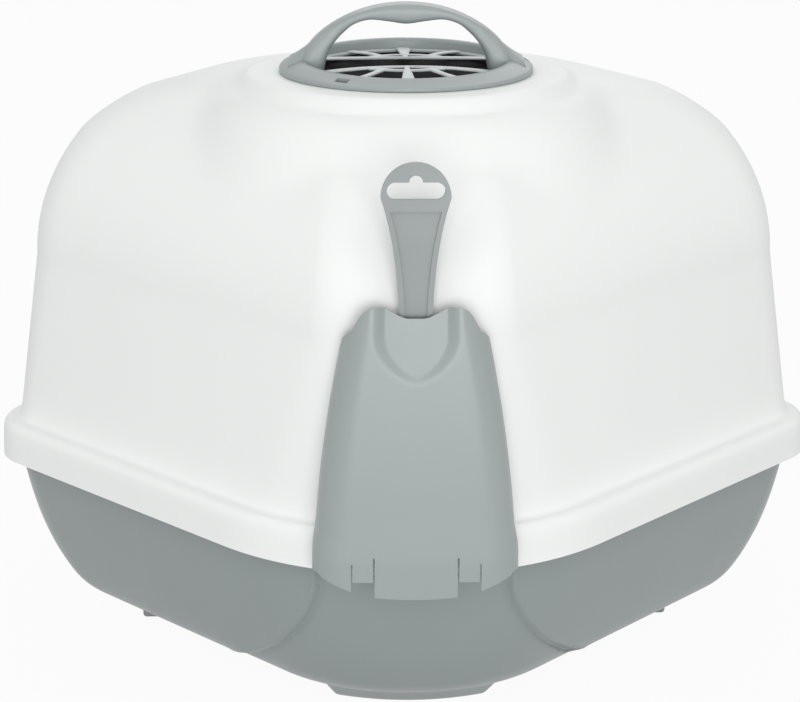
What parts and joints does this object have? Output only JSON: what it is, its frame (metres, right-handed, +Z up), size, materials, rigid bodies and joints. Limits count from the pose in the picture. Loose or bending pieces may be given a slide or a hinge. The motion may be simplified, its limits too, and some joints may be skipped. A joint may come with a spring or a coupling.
{
  "type": "covered corner litter box",
  "caption": "Covered corner litter box with tray, lift-off domed hood, vent with carrying handle and filter, swing flap, side latches and a scoop in a rear pouch.",
  "frame": {"origin": "on the floor, under the middle of the overall box", "axes": "+X to the right seen from behind the rear corner, +Y from the rear corner to the entrance, +Z up"},
  "size_m": [0.562, 0.4555, 0.434],
  "materials": {
    "white_plastic": "smooth glossy moulded",
    "grey_plastic": "satin moulded",
    "light_grey_plastic": "satin moulded",
    "charcoal_foam": "open-cell carbon foam",
    "clear_plastic": "clear smoky sheet"
  },
  "bodies": {
    "base": {"tray": "grey_plastic"},
    "hood_shell": {"hood": "white_plastic", "entrance_frame": "grey_plastic", "flap_pins": "light_grey_plastic", "latch_pins": "light_grey_plastic", "scoop_holder": "grey_plastic"},
    "vent_cover": {"vent_handle": "grey_plastic", "vent_grille": "light_grey_plastic", "filter_tray": "light_grey_plastic", "charcoal_filter": "charcoal_foam"},
    "door": {"flap": "clear_plastic"},
    "right_latch": {"latch_right": "grey_plastic"},
    "left_latch": {"latch_left": "grey_plastic"},
    "litter_scoop": {"scoop": "grey_plastic"}
  },
  "joints": [
    {"name": "hood_lift", "type": "slide", "parent": "base", "child": "hood_shell", "axis": [0, 0, 1], "range_m": [0, 0.09]},
    {"name": "vent_lift", "type": "slide", "parent": "hood_shell", "child": "vent_cover", "axis": [0, 0, 1], "range_m": [0, 0.05]},
    {"name": "flap_swing", "type": "hinge", "parent": "hood_shell", "child": "door", "pos_m": [0, 0.2074, 0.31], "axis": [1, 0, 0], "range_deg": [-80, 80]},
    {"name": "right_latch_turn", "type": "hinge", "parent": "hood_shell", "child": "right_latch", "pos_m": [0.22731, 0.12483, 0.152], "axis": [-0.491, 0.8712, 0], "range_deg": [-100, 0]},
    {"name": "left_latch_turn", "type": "hinge", "parent": "hood_shell", "child": "left_latch", "pos_m": [-0.22731, 0.12483, 0.152], "axis": [-0.491, -0.8712, 0], "range_deg": [-100, 0]},
    {"name": "scoop_draw", "type": "slide", "parent": "hood_shell", "child": "litter_scoop", "axis": [0, 0.1132, 0.9936], "range_m": [0, 0.15]}
  ]
}
